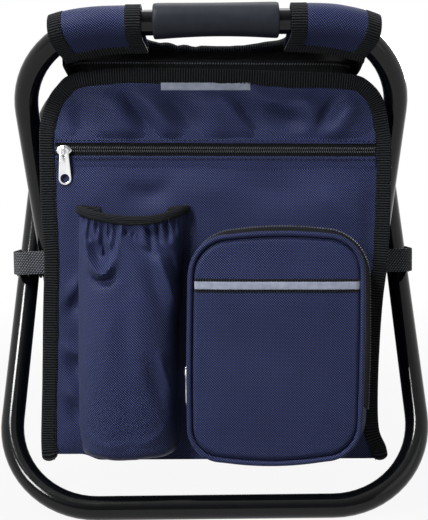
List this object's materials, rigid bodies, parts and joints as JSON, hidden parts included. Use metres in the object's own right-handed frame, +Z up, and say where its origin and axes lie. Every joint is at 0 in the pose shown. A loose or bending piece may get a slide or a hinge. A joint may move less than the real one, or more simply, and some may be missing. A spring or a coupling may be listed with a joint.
{
  "type": "folding cooler stool",
  "caption": "Folding stool on two crossed tube hoops with a slung fabric seat, a foam carry grip and a soft insulated bag with pockets and zips between the hoops.",
  "frame": {"origin": "on the floor, under the middle of the stool's overall box", "axes": "+Z up, +X to the right seen from the front, the grip and the pockets face -Y"},
  "size_m": [0.36, 0.2998, 0.3974],
  "materials": {
    "coated_steel": "gloss black powder coat on steel tube",
    "rivet_steel": "blackened steel",
    "nylon": "matt nylon",
    "grip_foam": "matt closed-cell foam",
    "navy_cloth": "coated polyester twill",
    "black_tape": "ribbed black webbing and grosgrain",
    "white_foam": "insulating foam",
    "foil": "aluminised lining film",
    "nickel": "nickel-plated zinc",
    "reflective": "silver reflective tape"
  },
  "bodies": {
    "bag_hoop": {"bag_hoop_tube": "coated_steel", "rear_sleeve": "navy_cloth", "rear_sleeve_tape_left": "black_tape", "rear_sleeve_tape_right": "black_tape", "pivot_rivet_left": "rivet_steel", "pivot_rivet_right": "rivet_steel", "pivot_washer_left": "nylon", "pivot_washer_right": "nylon", "seat_sheet": "navy_cloth"},
    "grip_hoop": {"grip_hoop_tube": "coated_steel", "foam_grip": "grip_foam", "front_sleeve_left": "navy_cloth", "front_sleeve_right": "navy_cloth", "front_sleeve_tape_left": "black_tape", "front_sleeve_tape_right": "black_tape"},
    "bag": {"front_panel": "navy_cloth", "front_binding": "black_tape", "back_panel": "navy_cloth", "back_binding": "black_tape", "gusset_left": "navy_cloth", "gusset_right": "navy_cloth", "base_panel": "navy_cloth", "foam_liner": "white_foam", "foil_liner": "foil", "main_zip_tape": "black_tape", "front_zip_tape": "black_tape", "pocket_zip_tape": "black_tape", "reflective_patch": "reflective", "bottle_pocket": "navy_cloth", "bottle_pocket_elastic": "black_tape", "pocket_base": "navy_cloth"},
    "side_loops": {"side_loop_left": "black_tape", "side_loop_right": "black_tape"},
    "lid": {"lid_panel": "navy_cloth"},
    "pocket_flap": {"flap_wall": "navy_cloth", "flap_face": "navy_cloth", "flap_piping": "navy_cloth", "flap_ribbon": "black_tape", "flap_reflective_band": "reflective"},
    "main_slider": {"main_zip_slider": "nickel"},
    "main_pull": {"main_zip_pull": "nickel"},
    "front_slider": {"front_zip_slider": "nickel"},
    "front_pull": {"front_zip_pull": "nickel"},
    "pocket_slider": {"pocket_zip_slider": "nickel"},
    "pocket_pull": {"pocket_zip_pull": "nickel"}
  },
  "joints": [
    {"name": "frame_fold", "type": "hinge", "parent": "bag_hoop", "child": "grip_hoop", "pos_m": [0, 0, 0.18871], "axis": [-1, 0, 0], "range_deg": [0, 62], "deforming": ["seat_sheet"]},
    {"name": "loops_follow", "type": "hinge", "parent": "bag_hoop", "child": "side_loops", "pos_m": [0, 0, 0.18871], "axis": [-1, 0, 0], "range_deg": [0, 31]},
    {"name": "bag_settle", "type": "slide", "parent": "side_loops", "child": "bag", "axis": [0, 1, 0], "range_m": [0, 0.0605], "deforming": ["gusset_left", "gusset_right", "base_panel", "back_panel", "back_binding", "foam_liner", "foil_liner", "main_zip_tape", "lid_panel"]},
    {"name": "lid_lift", "type": "hinge", "parent": "bag", "child": "lid", "pos_m": [0, 0.0904, 0.35807], "axis": [-1, 0, 0], "range_deg": [0, 5.5]},
    {"name": "pocket_flap_fold", "type": "hinge", "parent": "bag", "child": "pocket_flap", "pos_m": [0.052, -0.1206, 0.0474], "axis": [1, 0, 0], "range_deg": [0, 60]},
    {"name": "main_zip_slide", "type": "slide", "parent": "bag", "child": "main_slider", "axis": [0, -1, 0], "range_m": [0, 0.055]},
    {"name": "main_pull_swing", "type": "hinge", "parent": "main_slider", "child": "main_pull", "pos_m": [-0.114, 0.071, 0.35507], "axis": [0, 1, 0], "range_deg": [0, 90]},
    {"name": "front_zip_slide", "type": "slide", "parent": "bag", "child": "front_slider", "axis": [1, 0, 0], "range_m": [0, 0.234]},
    {"name": "front_pull_swing", "type": "hinge", "parent": "front_slider", "child": "front_pull", "pos_m": [-0.1171, -0.1115, 0.29112], "axis": [-1, 0, 0], "range_deg": [0, 150]},
    {"name": "pocket_zip_slide", "type": "slide", "parent": "bag", "child": "pocket_slider", "axis": [0, 0, 1], "range_m": [0, 0.065]},
    {"name": "pocket_pull_swing", "type": "hinge", "parent": "pocket_slider", "child": "pocket_pull", "pos_m": [-0.02192, -0.116, 0.11745], "axis": [0, 1, 0], "range_deg": [0, 10]}
  ],
  "couplings": [
    {"joint": "loops_follow", "follows": "frame_fold", "ratio": 0.5},
    {"joint": "bag_settle", "follows": "frame_fold", "m_per_rad": 0.0559}
  ]
}
